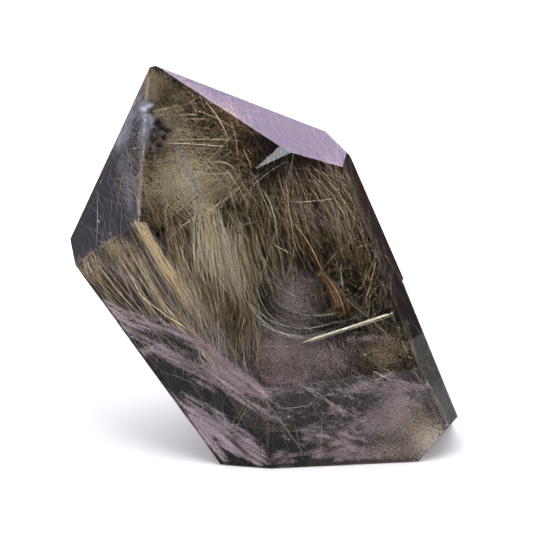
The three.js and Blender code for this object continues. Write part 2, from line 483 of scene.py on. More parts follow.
def lay_paths(starts, middles, ends, shares, steps):
    """Curves cut back to the stone's inside, and which of them are left."""
    shares = np.broadcast_to(shares, (len(starts), 2))
    fine = np.linspace(0, 1, PATH_CHECKS)[None, :]
    checks = shares[:, :1] + (shares[:, 1:] - shares[:, :1]) * fine
    clear = inside(bowed(starts, middles, ends, checks))
    some = clear.sum(axis=1) > FEWEST_CLEAR
    checks = checks[some]
    clear = clear[some]
    rows = np.arange(len(checks))
    low = checks[rows, clear.argmax(axis=1)][:, None]
    high = checks[rows, clear.shape[1] - 1 - clear[:, ::-1].argmax(axis=1)][:, None]
    final = low + (high - low) * np.linspace(0, 1, steps)[None, :]
    return bowed(starts[some], middles[some], ends[some], final), some


def across_view(ways):
    """Unit directions across these ways, square to the line of sight."""
    return unit(np.cross(ways, AHEAD))


# Groups of needles and grains. Places are pixels of the photograph. Radii, lengths and depths behind the
# polished face are in mm.

SHALLOWEST = 0.6
ROOT_REACH = -0.04
FAN_SHADES = 0.12
FAN_OVERSHOOT = (-0.1, 1.1)
FAN_SKEW = 1.5
FAN_SLANT = 0.15
THREAD_STEPS = 8
TANGLE_LEAN = 0.3
VEIL_SHADES = 0.15
VEIL_THICKNESS = 0.4
VEIL_SHALLOWEST = 0.5
VEIL_WANDER = 0.35
VEIL_FIBRE_HALF = (0.3, 1.2)
VEIL_FIBRE_RADIUS = (0.02, 0.045)
WOOL_RADIUS = (0.014, 0.034)
RIM_START = 1.15
RIM_FINER = 0.22
RIM_FINEST = 0.4
RIM_DARKER = 0.16


def fan(growth, top, bottom, number, depth, mix=0.1, bow=(0, 3), radius=(0.025, 0.06), tone=(0.2, 0.9),
        clumps=12, share=(0.4, 1), clump=0.02, loose=(2, 3), rooted=0, steps=5):
    """Needles in clumps from the line top to the line bottom, each given by two pixels."""
    middles = rng.uniform(0, 1, clumps)
    lighter = rng.normal(0, FAN_SHADES, clumps)
    member = rng.integers(0, clumps, number)
    rooting = np.clip(middles[member] + rng.normal(0, clump, number), 0, 1)
    landing = np.clip(rooting + rng.normal(0, mix, number), *FAN_OVERSHOOT)
    first = between(np.array(top, float), rooting[:, None])
    last = between(np.array(bottom, float), landing[:, None])
    first += rng.normal(0, loose[0], first.shape)
    last += rng.normal(0, loose[1], last.shape)
    deep = rng.uniform(*depth, number)
    lean = (depth[1] - depth[0]) * rng.normal(0, FAN_SLANT, number)
    starts = into_stone(first, np.maximum(deep - lean, SHALLOWEST) * MM)
    ends = into_stone(last, np.maximum(deep + lean, SHALLOWEST) * MM)
    sag = rng.normal(*bow, number) * PIXEL
    halfway = (starts + ends) / 2 + across_view(ends - starts) * sag[:, None]
    length = rng.uniform(*share, number)
    begin = rng.uniform(0, 1, number) * (1 - length)
    begin = np.where(rng.uniform(0, 1, number) < rooted, ROOT_REACH, begin)
    shares = np.stack([begin, begin + length], axis=1)
    rank = rng.uniform(0, 1, number)
    tones = np.clip(between(tone, rank**FAN_SKEW) + lighter[member], 0, 1)
    growth.curves(starts, halfway, ends, shares, steps, between(radius, rank**2) * MM, tones)


def thread(growth, start, end, depth, radius, tone, bow=0.0):
    """One needle between two pixels; bow is in pixels."""
    ends = into_stone((start, end), depth * MM)
    starts = ends[:1]
    ends = ends[1:]
    middles = (starts + ends) / 2 + across_view(ends - starts) * bow * PIXEL
    growth.curves(starts, middles, ends, WHOLE, THREAD_STEPS, np.array([radius * MM]), np.array([tone]))


def tangle(growth, centre, size, number, depth, length, radius, tone, turn, spread, bow=0.05, skew=1.3,
           steps=3):
    """Fine needles that cross each other round a pixel; turn and spread of directions are in degrees."""
    pixels = np.array(centre) + rng.normal(size=(number, 2)) * np.array(size)
    middles = into_stone(pixels, rng.uniform(*depth, number) * MM)
    angle = np.radians(turn + rng.uniform(-spread, spread, number))[:, None]
    ways = RIGHTWARD * np.cos(angle) - UPWARD * np.sin(angle)
    ways = ways + AHEAD * rng.normal(0, TANGLE_LEAN, (number, 1))
    ways /= np.linalg.norm(ways, axis=1)[:, None]
    half = rng.uniform(*length, number)[:, None] * MM / 2
    sag = across_view(ways) * half * rng.normal(0, bow, (number, 1)) * 2
    rank = rng.uniform(0, 1, number)
    starts = middles - ways * half
    ends = middles + ways * half
    tones = between(tone, rank**skew)
    growth.curves(starts, middles + sag, ends, WHOLE, steps, between(radius, rank) * MM, tones)


def wool(growth, centre, size, number, depth, tone, turn=60.0, spread=90.0, length=(0.6, 2.6)):
    """A soft cloud of fibres round a pixel, too fine to tell single ones apart."""
    tangle(growth, centre, size, number, depth, length, WOOL_RADIUS, tone, turn, spread, bow=0, skew=1,
           steps=2)


def points_along(path, number):
    """Points of a line through these pixels, evenly spread at random, and the line's direction at each."""
    path = np.array(path, float)
    legs = np.diff(path, axis=0)
    lengths = np.linalg.norm(legs, axis=1)
    leg = rng.choice(len(legs), number, p=lengths / lengths.sum())
    points = path[leg] + legs[leg] * rng.uniform(0, 1, (number, 1))
    return points, legs[leg] / lengths[leg][:, None]


def veil(growth, path, width, number, depth, radius=(0.05, 0.15), tone=(0.2, 0.9), skew=1.5, clumps=40,
         long=5.0, wide=1.5, fibres=0.4):
    """Grains in long clumps along a line of pixels, some drawn out to fibres. Widths are in pixels."""
    middles, ways = points_along(path, clumps)
    sides = np.stack([-ways[:, 1], ways[:, 0]], axis=1)
    middles = middles + sides * rng.normal(0, width, (clumps, 1))
    deep = rng.uniform(depth[0], depth[1], clumps)
    lighter = rng.normal(0, VEIL_SHADES, clumps)
    member = rng.integers(0, clumps, number)
    pixels = middles[member] + ways[member] * rng.normal(0, long, (number, 1))
    pixels += sides[member] * rng.normal(0, wide, (number, 1))
    depths = np.maximum(deep[member] + rng.normal(0, VEIL_THICKNESS, number), VEIL_SHALLOWEST)
    rank = rng.uniform(0, 1, number)
    tones = np.clip(between(tone, rank**skew) + lighter[member], 0, 1)
    places = into_stone(pixels, depths * MM)
    drawn = rng.uniform(0, 1, number) < fibres
    growth.grains(places[~drawn], between(radius, rank[~drawn]) * MM, tones[~drawn])
    along = RIGHTWARD * ways[member, :1] - UPWARD * ways[member, 1:]
    along = along + rng.normal(0, VEIL_WANDER, (number, 3))
    along /= np.linalg.norm(along, axis=1)[:, None]
    half = rng.uniform(*VEIL_FIBRE_HALF, number)[:, None] * MM
    starts = (places - along * half)[drawn]
    ends = (places + along * half)[drawn]
    radii = rng.uniform(*VEIL_FIBRE_RADIUS, len(starts)) * MM
    growth.curves(starts, places[drawn], ends, WHOLE, 2, radii, tones[drawn])


def haze(growth, centre, size, number, depth, radius=(0.05, 0.12), tone=(0.2, 0.6)):
    """A soft cloud of grains round a pixel, finer and darker towards its rim."""
    offsets = rng.normal(size=(number, 2))
    pixels = np.array(centre) + offsets * np.array(size)
    depths = rng.uniform(*depth, number)
    outward = np.linalg.norm(offsets, axis=1)
    radii = rng.uniform(*radius, number)
    radii *= np.clip(RIM_START - RIM_FINER * outward, RIM_FINEST, 1)
    tones = np.clip(rng.uniform(*tone, number) - RIM_DARKER * outward, 0, 1)
    growth.grains(into_stone(pixels, depths * MM), radii * MM, tones)


# Colours from dark to light along the tone

def tone_material(name, colours, roughness=RUTILE_ROUGHNESS):
    """Colours over a piece's tones, mottled along each needle, with a resin-like gloss that varies too."""
    material, nodes, shader = new_material(name)
    shader.inputs["IOR"].default_value = RUTILE_INDEX
    tone = nodes.new("ShaderNodeAttribute")
    tone.attribute_name = "tone"
    place = nodes.new("ShaderNodeTexCoord")
    mottle = add(nodes, "TexNoise", Scale=MOTTLE_SCALE, Detail=MOTTLE_DETAIL)
    uneven = add(nodes, "MapRange", To_Min=-MOTTLE_DEPTH, To_Max=MOTTLE_DEPTH)
    total = nodes.new("ShaderNodeMath")
    total.operation = "ADD"
    ramp = nodes.new("ShaderNodeValToRGB")
    stops = ramp.color_ramp.elements
    for number, colour in enumerate(colours):
        share = number / (len(colours) - 1)
        stop = stops[number] if number < 2 else stops.new(share)
        stop.position = share
        stop.color = (*colour, 1)
    gloss = add(nodes, "MapRange", To_Min=roughness - GLOSS_CHANGE, To_Max=roughness + GLOSS_CHANGE)
    join(place, "Object", mottle, "Vector")
    join(mottle, "Fac", uneven, "Value")
    join(mottle, "Fac", gloss, "Value")
    join(tone, "Fac", total, 0)
    join(uneven, "Result", total, 1)
    join(total, "Value", ramp, 0)
    join(ramp, "Color", shader, "Base Color")
    join(gloss, "Result", shader, "Roughness")
    return material


GOLD = tone_material(
    "golden_rutile", ((0.06, 0.04, 0.028), (0.38, 0.3, 0.16), (0.76, 0.67, 0.44), (0.97, 0.95, 0.84)))
DEEP_GOLD = tone_material(
    "deep_golden_rutile", ((0.05, 0.035, 0.02), (0.36, 0.26, 0.11), (0.72, 0.57, 0.29), (0.96, 0.88, 0.66)))
SILVER = tone_material("silvery_rutile", ((0.16, 0.13, 0.11), (0.5, 0.47, 0.4), (0.88, 0.9, 0.88)))
AMBER = tone_material("amber_rutile", ((0.05, 0.03, 0.015), (0.22, 0.135, 0.06), (0.44, 0.27, 0.125)))
MAUVE = tone_material(
    "mauve_haze", ((0.14, 0.11, 0.11), (0.54, 0.46, 0.475), (0.9, 0.82, 0.84)), HAZE_ROUGHNESS)
VEIL = tone_material(
    "lilac_veil", ((0.15, 0.11, 0.13), (0.61, 0.49, 0.56), (0.98, 0.9, 1)), HAZE_ROUGHNESS)
FROST = tone_material(
    "bluish_frost", ((0.1, 0.1, 0.13), (0.42, 0.44, 0.54), (0.92, 0.96, 1)), HAZE_ROUGHNESS)
# Painted glow: cream colours for grains that stand in for warm light in the foot's lower right corner.
PAINTED_GLOW_CREAM = tone_material(
    "cream_painted_glow", ((0.2, 0.165, 0.14), (0.62, 0.55, 0.48), (1, 0.93, 0.82)), HAZE_ROUGHNESS)
OLIVE = tone_material(
    "olive_haze", ((0.16, 0.13, 0.09), (0.56, 0.5, 0.35), (0.96, 0.92, 0.74)), HAZE_ROUGHNESS)
BLACK = tone_material("black_grains", ((0.01, 0.008, 0.01), (0.06, 0.045, 0.05)), GRAIN_ROUGHNESS)


# The pieces, each one group of needles, veils or grains

def fans(growth, rows):
    for row in rows:
        fan(growth, *row)


def tangles(growth, rows):
    for row in rows:
        tangle(growth, *row)


def threads(growth, rows, depth):
    for start, end, *looks in rows:
        thread(growth, start, end, depth, *looks)


def hazes(growth, rows):
    for centre, size, number, depth, tone in rows:
        haze(growth, centre, size, number, depth, tone=tone)


def veils(growth, rows, depth, radius, fibres):
    for path, width, number, tone, long, wide, clumps in rows:
        veil(growth, path, width, number, depth, radius, tone, 1.0, clumps, long, wide, fibres)


# Fans are given by the line they start from, the line they end on, number of needles, depth, how far they
# stray along the second line, bow, radius, tone, number of clumps, the share of the way they cover, width of
# a clump, looseness at the two lines, the share of needles that start at the first line, and the number of
# points of a needle. Tangles are given by centre, size, number of needles, depth, length, radius, tone, main
# direction, spread of directions and bow, and single needles by start, end, radius, tone and bow. What a row
# leaves out at its end is as in fan, tangle or thread.
STOUT = (0.025, 0.06)
COARSE = (0.018, 0.045)
MIDDLING = (0.015, 0.035)
FINE = (0.014, 0.03)
STAIN = (0.05, 0.11)

THICKET_LOWER = (-40 * MM, -21 * MM, 0)
THICKET_UPPER = (40 * MM, 21 * MM, 79 * MM)
THICKET_NEEDLES = 2200
THICKET_WAY = (0.43, 0, -0.9)
THICKET_SPREAD = (0.45, 0.5, 0.45)
THICKET_LENGTHS = (6, 34)
THICKET_BOW = 0.06
THICKET_RADIUS = (0.018, 0.048)
THICKET_TONE = (0.15, 0.85)
THICKET_STEPS = 4
TOP_GAP = 9 * MM
TONE_SKEW = 1.5


def thicket(growth):
    """Fine needles all through the stone, most of them along its steep growth direction."""
    middles = rng.uniform(THICKET_LOWER, THICKET_UPPER, (THICKET_NEEDLES, 3))
    normal, reach = plane_of(STONE_FACES["tip right"])
    middles = middles[middles @ normal < reach - TOP_GAP]
    number = len(middles)
    ways = rng.normal(size=(number, 3)) * THICKET_SPREAD + THICKET_WAY
    ways /= np.linalg.norm(ways, axis=1)[:, None]
    half = rng.uniform(*THICKET_LENGTHS, number)[:, None] * MM / 2
    sag = across_view(ways) * half * rng.normal(0, THICKET_BOW, (number, 1))
    starts = middles - ways * half
    ends = middles + ways * half
    rank = rng.uniform(0, 1, number)
    radii = between(THICKET_RADIUS, rank) * MM
    tones = between(THICKET_TONE, rank**TONE_SKEW)
    growth.curves(starts, middles + sag, ends, WHOLE, THICKET_STEPS, radii, tones)


# The far half's sheaves, in place of the locks there: the two lines in mm, and the number of needles.
BACK_SHEAVES = (
    (((-17, 5, 60), (12, 6, 57)), ((-6, 5, 12), (26, 4, 8)), 420),
    (((-16, -8, 50), (14, -8, 46)), ((-10, 9, 36), (20, 8, 30)), 260),
    (((-22, 4, 52), (-10, 12, 40)), ((0, 8, 10), (22, 12, 14)), 260),
    (((4, 10, 56), (22, 6, 44)), ((8, 14, 12), (28, 8, 16)), 260),
)
BACK_MIX = 0.12
BACK_LOOSE = 1.2
BACK_BOW = 0.7
BACK_SHARE = (0.4, 1)
BACK_RADIUS = (0.03, 0.08)
BACK_TONE = (0.2, 0.9)
BACK_STEPS = 5


def back_sheaves(growth):
    for top, bottom, number in BACK_SHEAVES:
        rooting = rng.uniform(0, 1, (number, 1))
        landing = rooting + rng.normal(0, BACK_MIX, (number, 1))
        starts = (between(np.array(top, float), rooting) + rng.normal(0, BACK_LOOSE, (number, 3))) * MM
        ends = (between(np.array(bottom, float), landing) + rng.normal(0, BACK_LOOSE, (number, 3))) * MM
        middles = (starts + ends) / 2 + rng.normal(0, BACK_BOW, (number, 3)) * MM
        length = rng.uniform(*BACK_SHARE, number)
        begin = rng.uniform(0, 1, number) * (1 - length)
        shares = np.stack([begin, begin + length], axis=1)
        rank = rng.uniform(0, 1, number)
        radii = between(BACK_RADIUS, rank**2) * MM
        tones = between(BACK_TONE, rank**TONE_SKEW)
        growth.curves(starts, middles, ends, shares, BACK_STEPS, radii, tones)


COMB_FANS = (
    (((77, 264), (137, 226)), ((146, 335), (212, 345)), 40, (0.7, 2), 0.16, (-4, 4), (0.02, 0.045),
     (0.45, 0.95), 20, (0.35, 1), 0.02, (0.8, 4), 0.85),
    (((78, 266), (137, 228)), ((160, 330), (235, 345)), 30, (2, 4), 0.2, (-6, 4), (0.018, 0.035),
     (0.15, 0.6), 18, (0.3, 1), 0.02, (0.8, 4), 0.7),
    (((78, 264), (126, 234)), ((95, 290), (150, 275)), 70, (0.6, 2), 0.15, (0, 2), (0.02, 0.04),
     (0.4, 1), 40, (0.5, 1), 0.02, (2, 3), 0.9),
    (((133, 225), (148, 228)), ((188, 300), (205, 328)), 130, (0.6, 2), 0.1, (-2, 2), (0.02, 0.045),
     (0.6, 1), 24, (0.6, 1), 0.05, (0.6, 4), 0.85),
    (((112, 243), (150, 232)), ((170, 335), (240, 350)), 36, (0.7, 2.5), 0.2, (-10, 4), (0.02, 0.045),
     (0.5, 1), 12, (0.4, 1), 0.02, (1, 3), 0, 7),
    (((85, 262), (180, 300)), ((165, 372), (262, 398)), 34, (0.7, 4), 0.1, (-6, 4), (0.018, 0.04),
     (0.3, 1), 12, (0.3, 1)),
    (((165, 385), (250, 400)), ((185, 345), (262, 352)), 30, (0.8, 4), 0.5, (0, 3), (0.018, 0.04),
     (0.3, 0.9)),
)
COMB_TANGLES = (
    ((165, 300), (26, 22), 60, (0.7, 3), (3, 12), MIDDLING, (0.4, 1), 60, 40),
)
COMB_THREADS = (
    ((105, 258), (232, 349), 0.035, 0.75, -12), ((150, 300), (262, 396), 0.035, 0.75, -6),
    ((116, 262), (168, 350), 0.035, 0.8, -4), ((230, 440), (251, 399), 0.035, 0.9),
    ((223, 437), (262, 380), 0.035, 0.8), ((235, 366), (265, 420), 0.035, 0.85),
    ((203, 318), (224, 378), 0.035, 0.9, 2), ((160, 372), (203, 390), 0.035, 0.8, 3),
    ((92, 258), (150, 325), 0.035, 0.9, -2), ((128, 245), (192, 342), 0.035, 0.8, -5),
)
COMB_THREAD_DEPTH = 0.8


def left_comb(growth):
    """The steep comb of needles behind the left front face, and the golden column beside it."""
    fans(growth, COMB_FANS)
    tangles(growth, COMB_TANGLES)
    threads(growth, COMB_THREADS, COMB_THREAD_DEPTH)


SHEAF_FANS = (
    (((194, 196), (216, 202)), ((202, 285), (238, 300)), 150, (0.6, 1.8), 0.3, (1, 5), (0.018, 0.04),
     (0.75, 1.1), 40, (0.3, 1)),
    (((156, 218), (204, 204)), ((188, 335), (228, 348)), 100, (0.7, 2.5), 0.3, (0, 6), (0.018, 0.038),
     (0.35, 1.1), 50, (0.25, 1)),
    (((204, 202), (244, 212)), ((236, 324), (262, 316)), 130, (0.7, 2.5), 0.35, (-6, 7), (0.018, 0.038),
     (0.5, 1.1), 50, (0.25, 1)),
    (((225, 203), (264, 222)), ((250, 322), (300, 295)), 80, (0.8, 4), 0.5, (-6, 8), (0.018, 0.036),
     (0.3, 0.9), 40, (0.25, 1)),
    (((165, 215), (255, 215)), ((195, 345), (275, 330)), 90, (3, 7), 0.35, (-2, 8), (0.018, 0.035),
     (0.05, 0.4), 50),
    (((150, 240), (205, 250)), ((215, 330), (262, 300)), 50, (0.7, 3), 0.4, (0, 6), (0.018, 0.036),
     (0.4, 0.95), 30),
    (((215, 235), (262, 245)), ((190, 340), (238, 345)), 60, (0.7, 4), 0.4, (2, 5), (0.018, 0.036),
     (0.3, 0.9), 30),
    (((242, 300), (258, 304)), ((226, 358), (268, 390)), 80, (0.7, 4), 0.35, (0, 5), (0.018, 0.038),
     (0.35, 0.95), 30),
    (((180, 262), (216, 270)), ((205, 372), (242, 392)), 44, (0.8, 3), 0.2, (2, 3), (0.018, 0.036),
     (0.3, 0.9)),
)
SHEAF_TANGLES = (
    ((215, 255), (26, 34), 260, (0.7, 5), (3, 14), (0.015, 0.034), (0.4, 1), 65, 35, 0.1),
)


def middle_sheaf(growth):
    """The pale sheaf that hangs from the middle of the tip and gathers in a knot."""
    fans(growth, SHEAF_FANS)
    tangles(growth, SHEAF_TANGLES)


BRUSH_THREAD_DEPTH = 0.9
TIP_FANS = (
    (((143, 76), (168, 78)), ((150, 140), (200, 125)), 60, (1, 6), 0.2, (0, 3), STOUT, (0.1, 0.6)),
    (((168, 150), (190, 148)), ((190, 212), (215, 205)), 50, (0.8, 4), 0.3, (0, 3), STOUT, (0.3, 0.9)),
    (((132, 178), (150, 172)), ((160, 236), (215, 225)), 70, (0.8, 5), 0.3, (0, 4)),
    (((150, 225), (175, 240)), ((185, 175), (240, 178)), 50, (0.8, 4), 0.5, (0, 4), STOUT, (0.2, 0.8)),
    (((215, 160), (250, 172)), ((205, 215), (262, 222)), 70, (0.8, 5), 0.5, (2, 5), STOUT, (0.2, 0.8)),
)
TIP_TANGLES = (
    ((190, 160), (30, 34), 150, (0.6, 1.8), (5, 15), (0.014, 0.028), (0.5, 1), 40, 90, 0.03),
    ((185, 168), (20, 20), 160, (0.7, 4), (2, 9), MIDDLING, (0.4, 1), 0, 80),
    ((170, 120), (18, 20), 110, (0.8, 5), (2, 9), MIDDLING, (0.3, 0.9), 0, 90),
    ((215, 135), (20, 16), 120, (0.8, 5), (2, 10), MIDDLING, (0.3, 0.95), 20, 60),
    ((225, 170), (16, 10), 110, (0.8, 4), (2, 9), MIDDLING, (0.4, 1), 0, 60),
    ((205, 105), (14, 10), 60, (0.8, 5), (2, 8), MIDDLING, (0.3, 0.9), 45, 60),
    ((130, 195), (12, 18), 90, (1, 5), (2, 8), COARSE, (0.2, 0.7), 60, 50),
)
TIP_THREADS = (
    ((164, 143), (227, 147), 0.10, 0.85, 1), ((160, 141), (242, 141), 0.05, 0.7, 2),
    ((180, 119), (211, 119), 0.06, 0.75), ((182, 114), (198, 115), 0.07, 0.8),
    ((206, 102), (228, 138), 0.08, 0.8, 2), ((200, 170), (235, 132), 0.05, 0.7),
    ((150, 112), (180, 105), 0.05, 0.6), ((192, 110), (232, 128), 0.05, 0.7, 3),
    ((229, 118), (237, 160), 0.05, 0.65, 3), ((243, 148), (252, 168), 0.06, 0.7),
    ((137, 178), (141, 170), 0.06, 0.9), ((127, 188), (140, 204), 0.05, 0.8, 2),
    ((190, 170), (232, 172), 0.06, 0.8, -3), ((215, 162), (236, 170), 0.06, 0.8, 3),
)


def tip_brush(growth):
    """Crossing threads in the tip."""
    fans(growth, TIP_FANS)
    tangles(growth, TIP_TANGLES)
    threads(growth, TIP_THREADS, BRUSH_THREAD_DEPTH)


UPPER_FANS = (
    (((242, 178), (300, 166)), ((280, 305), (330, 300)), 70, (0.8, 4), 0.6, (2, 4), (0.016, 0.034),
     (0.2, 0.95), 60, (0.3, 0.9)),
    (((300, 166), (344, 168)), ((345, 285), (388, 300)), 56, (0.8, 4), 0.5, (5, 4), (0.016, 0.034),
     (0.2, 0.9), 50, (0.3, 0.9)),
    (((250, 178), (340, 172)), ((280, 250), (370, 240)), 50, (3, 7), 0.6, (0, 4), (0.016, 0.034),
     (0.05, 0.5), 40),
    (((262, 175), (300, 176)), ((292, 262), (325, 262)), 22, (0.8, 3), 0.3, (3, 3), (0.03, 0.06),
     (0.4, 0.8)),
)
UPPER_TANGLES = (
    ((290, 205), (32, 20), 220, (0.7, 4), (6, 20), FINE, (0.3, 1), 60, 60, 0.03),
    ((350, 265), (18, 24), 100, (0.7, 4), (6, 18), FINE, (0.3, 0.9), 60, 80, 0.02),
    ((375, 305), (14, 14), 50, (0.8, 4), (5, 14), FINE, (0.3, 0.9), 110, 50, 0.02),
    ((340, 205), (16, 20), 80, (0.7, 3), (6, 18), FINE, (0.3, 1), 60, 40, 0.03),
)
UPPER_THREADS = (
    ((293, 222), (322, 272), 0.08, 0.75, 3), ((322, 272), (345, 318), 0.07, 0.6, 5),
    ((275, 245), (289, 253), 0.11, 1), ((318, 276), (360, 236), 0.05, 0.55, 4),
    ((310, 278), (352, 268), 0.05, 0.5, 2), ((354, 248), (372, 243), 0.06, 0.7),
    ((300, 165), (348, 222), 0.04, 0.6, 5), ((318, 166), (372, 262), 0.035, 0.6, 6),
    ((376, 262), (366, 300), 0.06, 0.7), ((303, 298), (352, 290), 0.04, 0.5, 2),
    ((300, 343.5), (394, 313), 0.27, 0.78),
)


def upper_brush(growth):
    """The brown brush that hangs from the right of the tip, and the thick needle across the wide face."""
    fans(growth, UPPER_FANS)
    tangles(growth, UPPER_TANGLES)
    threads(growth, UPPER_THREADS, BRUSH_THREAD_DEPTH)


SILVER_FANS = (
    (((232, 215), (262, 290)), ((280, 334), (340, 318)), 16, (0.8, 2.4), 0.4, (-14, 7), (0.025, 0.055),
     (0.3, 1), 16, (0.6, 1), 0.02, (2, 3), 0, 10),
    (((188, 206), (225, 208)), ((200, 300), (245, 310)), 50, (0.8, 3), 0.1, (0, 3), STOUT, (0.4, 1)),
    (((98, 252), (140, 232)), ((150, 325), (200, 345)), 16, (0.8, 3), 0.15, (-3, 3), STOUT, (0.3, 1)),
    (((180, 270), (262, 300)), ((205, 380), (262, 395)), 34, (0.8, 4), 0.2, (1, 3), STOUT, (0.3, 0.9)),
    (((262, 250), (300, 262)), ((300, 330), (395, 350)), 40, (1, 6), 0.5, (0, 6), STOUT, (0.15, 0.7)),
)
SILVER_TANGLES = (
    ((330, 310), (30, 14), 60, (0.8, 3), (5, 16), FINE, (0.3, 0.9), 170, 40),
    ((310, 350), (34, 20), 70, (0.7, 1.2), (4, 12), (0.014, 0.028), (0.2, 0.8), 65, 40, 0.04),
    ((320, 415), (42, 20), 150, (0.7, 2.5), (1, 5), (0.012, 0.024), (0.2, 0.9), 0, 90),
    ((125, 130), (8, 14), 70, (1, 4), (1, 5), (0.015, 0.03), (0.2, 0.7), 100, 60),
    ((128, 175), (7, 18), 50, (1, 4), (1, 6), (0.015, 0.03), (0.2, 0.7), 80, 40),
    ((175, 130), (22, 24), 160, (1, 5), (1, 6), COARSE, (0.2, 0.7), 0, 90),
    ((335, 190), (10, 16), 50, (0.8, 3), (3, 9), COARSE, (0.3, 0.8), 65, 25),
)
SILVER_THREADS = (
    ((304, 341), (394, 311.6), 0.07, 1), ((306, 343.6), (394, 315.2), 0.07, 0.9),
    ((262, 345), (302, 343), 0.05, 0.7, -3), ((289, 160), (237, 206), 0.05, 0.7, -5),
    ((293, 202), (336, 198), 0.08, 0.95, -1), ((263, 190), (277, 233), 0.07, 0.8, 3),
    ((277, 228), (256, 292), 0.05, 0.8), ((275, 226), (287, 292), 0.04, 0.7),
    ((262, 270), (298, 297), 0.06, 0.7, -4), ((246, 300), (340, 320), 0.05, 0.95, -18),
    ((258, 322), (300, 336), 0.06, 1, -3), ((340, 265), (343, 288), 0.07, 0.85),
    ((166, 243), (201, 212), 0.07, 0.85, 2), ((240, 225), (256, 222), 0.06, 0.7),
    ((97, 190), (96, 246), 0.05, 0.5, 1), ((105, 222), (101, 252), 0.04, 0.35),
    ((138, 142), (139, 222), 0.035, 0.45, 2), ((122, 205), (121, 238), 0.04, 0.4),
    ((112, 195), (108, 250), 0.04, 0.3, 1), ((138, 200), (139, 222), 0.04, 0.6),
    ((300, 355), (316, 396), 0.06, 0.8, -1), ((313, 390), (345, 412), 0.08, 0.85),
    ((345, 410), (386, 438), 0.06, 0.7), ((275, 408), (318, 403), 0.06, 0.75, -2),
    ((265, 399), (303, 452), 0.07, 0.75), ((330, 405), (345, 413), 0.05, 0.7),
    ((347, 418), (364, 400), 0.05, 0.6), ((350, 330), (396, 374), 0.06, 0.6, -8),
    ((362, 356), (378, 348), 0.07, 0.7), ((373, 371), (392, 381), 0.07, 0.9),
    ((374, 381), (392, 372), 0.07, 0.9), ((307, 372), (322, 350), 0.05, 0.6),
    ((240, 418), (262, 398), 0.05, 0.6), ((310, 165), (352, 216), 0.04, 0.7, 4),
    ((330, 163), (365, 240), 0.03, 0.6, 5), ((325, 370), (345, 395), 0.05, 0.7),
    ((296, 380), (322, 400), 0.05, 0.7),
)
SILVER_THREAD_DEPTH = 0.85
# Nested arcs: where the first one starts and ends, its depth, tone and bow, and what each next one adds
ARCS = 9
ARC_START = np.array([244, 296])
ARC_START_STEP = np.array([2.2, 3.0])
ARC_END = np.array([300, 342])
ARC_END_STEP = np.array([5.5, -2.4])
ARC_RADIUS = 0.024
ARC_DEPTH = 0.7
ARC_DEPTH_STEP = 0.1
ARC_TONE = 0.6
ARC_TONE_STEP = 0.04
ARC_BOW = -9
ARC_BOW_STEP = -1.2


def silver_threads(growth):
    """Pale threads nearest to the front faces."""
    fans(growth, SILVER_FANS)
    tangles(growth, SILVER_TANGLES)
    for step in range(ARCS):
        start = ARC_START + ARC_START_STEP * step
        end = ARC_END + ARC_END_STEP * step
        depth = ARC_DEPTH + ARC_DEPTH_STEP * step
        tone = ARC_TONE + ARC_TONE_STEP * step
        bow = ARC_BOW + ARC_BOW_STEP * step
        thread(growth, start, end, depth, ARC_RADIUS, tone, bow)
    threads(growth, SILVER_THREADS, SILVER_THREAD_DEPTH)


AMBER_FANS = (
    (((284, 222), (298, 230)), ((316, 270), (328, 276)), 90, (1.2, 3), 0.35, (2, 1), (0.04, 0.08),
     (0.2, 0.6), 24, (0.4, 1), 0.1, (1, 2)),
    (((315, 270), (327, 276)), ((338, 318), (350, 320)), 190, (1, 2.6), 0.3, (4, 1), (0.04, 0.09),
     (0.35, 0.85), 40, (0.5, 1), 0.1, (1, 2)),
)
AMBER_TANGLES = (
    ((226, 120), (9, 6), 200, (1.5, 5), (0.8, 3), STAIN, (0.3, 0.9), 40, 50),
    ((238, 152), (8, 9), 160, (1.5, 5), (0.8, 3), STAIN, (0.1, 0.6), 60, 50),
    ((195, 98), (12, 8), 110, (1.5, 6), (0.8, 3), STAIN, (0.1, 0.5), 40, 60),
    ((292, 232), (10, 10), 110, (2, 6), (0.8, 3), STAIN, (0.1, 0.6), 60, 40),
    ((300, 235), (40, 35), 500, (3.5, 9), (1, 6), (0.04, 0.08), (0, 0.5), 60, 60),
)
AMBER_NEEDLE = dict(start=(375, 412), end=(431, 431), depth=0.8, radius=0.10, tone=1)


def amber_streaks(growth):
    """The amber band in the middle of the wide face and the brown stains under the top edge."""
    fans(growth, AMBER_FANS)
    tangles(growth, AMBER_TANGLES)
    thread(growth, **AMBER_NEEDLE)


# Hazes are given by centre, size, number of grains, depth and tone.
TIP_HAZES = (
    ((186, 178), (19, 18), 16000, (0.8, 2.6), (0.8, 1.1)),
    ((160, 192), (12, 16), 5000, (1.2, 4), (0.6, 1)),
    ((170, 128), (14, 16), 8000, (1.2, 4), (0.55, 1)),
    ((152, 96), (6, 9), 2000, (0.7, 3), (0.3, 0.6)),
    ((180, 98), (10, 8), 2000, (1, 4), (0.2, 0.6)),
    ((216, 190), (20, 9), 4500, (1.5, 5), (0.5, 0.9)),
    ((222, 140), (16, 15), 3000, (2, 6), (0.2, 0.6)),
    ((206, 208), (8, 6), 3000, (0.8, 2.4), (0.9, 1.1)),
)
TIP_DEEP_HAZE = ((185, 150), (34, 34), 6000, (3, 7), (0.14, 0.28), (0.25, 0.5))


def tip_haze(growth):
    """Hazy yellow-green masses in the tip, too fine to tell single needles apart."""
    hazes(growth, TIP_HAZES)
    haze(growth, *TIP_DEEP_HAZE)


